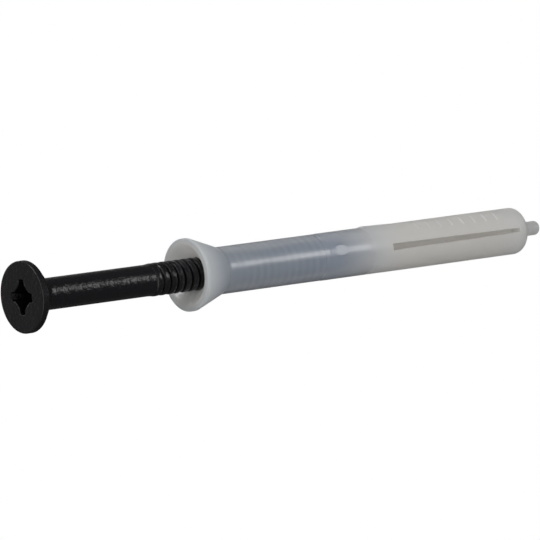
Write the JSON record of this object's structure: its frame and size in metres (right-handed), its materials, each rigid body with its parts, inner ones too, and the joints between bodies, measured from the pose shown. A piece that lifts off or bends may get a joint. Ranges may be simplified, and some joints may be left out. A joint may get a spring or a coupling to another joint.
{
  "type": "hammer fixing plug",
  "caption": "Nail screw with a thin countersunk head part-driven into a slotted nylon sleeve with a countersunk collar and a closed nose.",
  "frame": {"origin": "centre of the nail's flat head, in the plane of its face, on which the assembly stands", "axes": "+Z along the common axis from the nail's head to the sleeve's nose, -Y out of the slot's mouth, -X through the barb and between the two rows of grip ribs"},
  "size_m": [0.0124, 0.0124, 0.1114],
  "materials": {
    "black_coated_steel": "matt black phosphate-like coating, slightly rough",
    "natural_nylon": "translucent natural nylon, as moulded"
  },
  "bodies": {
    "plug": {"sleeve": "natural_nylon"},
    "nail": {"nail_screw": "black_coated_steel"}
  },
  "joints": [
    {"name": "nail_drive", "type": "slide", "parent": "plug", "child": "nail", "axis": [0, 0, 1], "range_m": [0, 0.0318]}
  ]
}
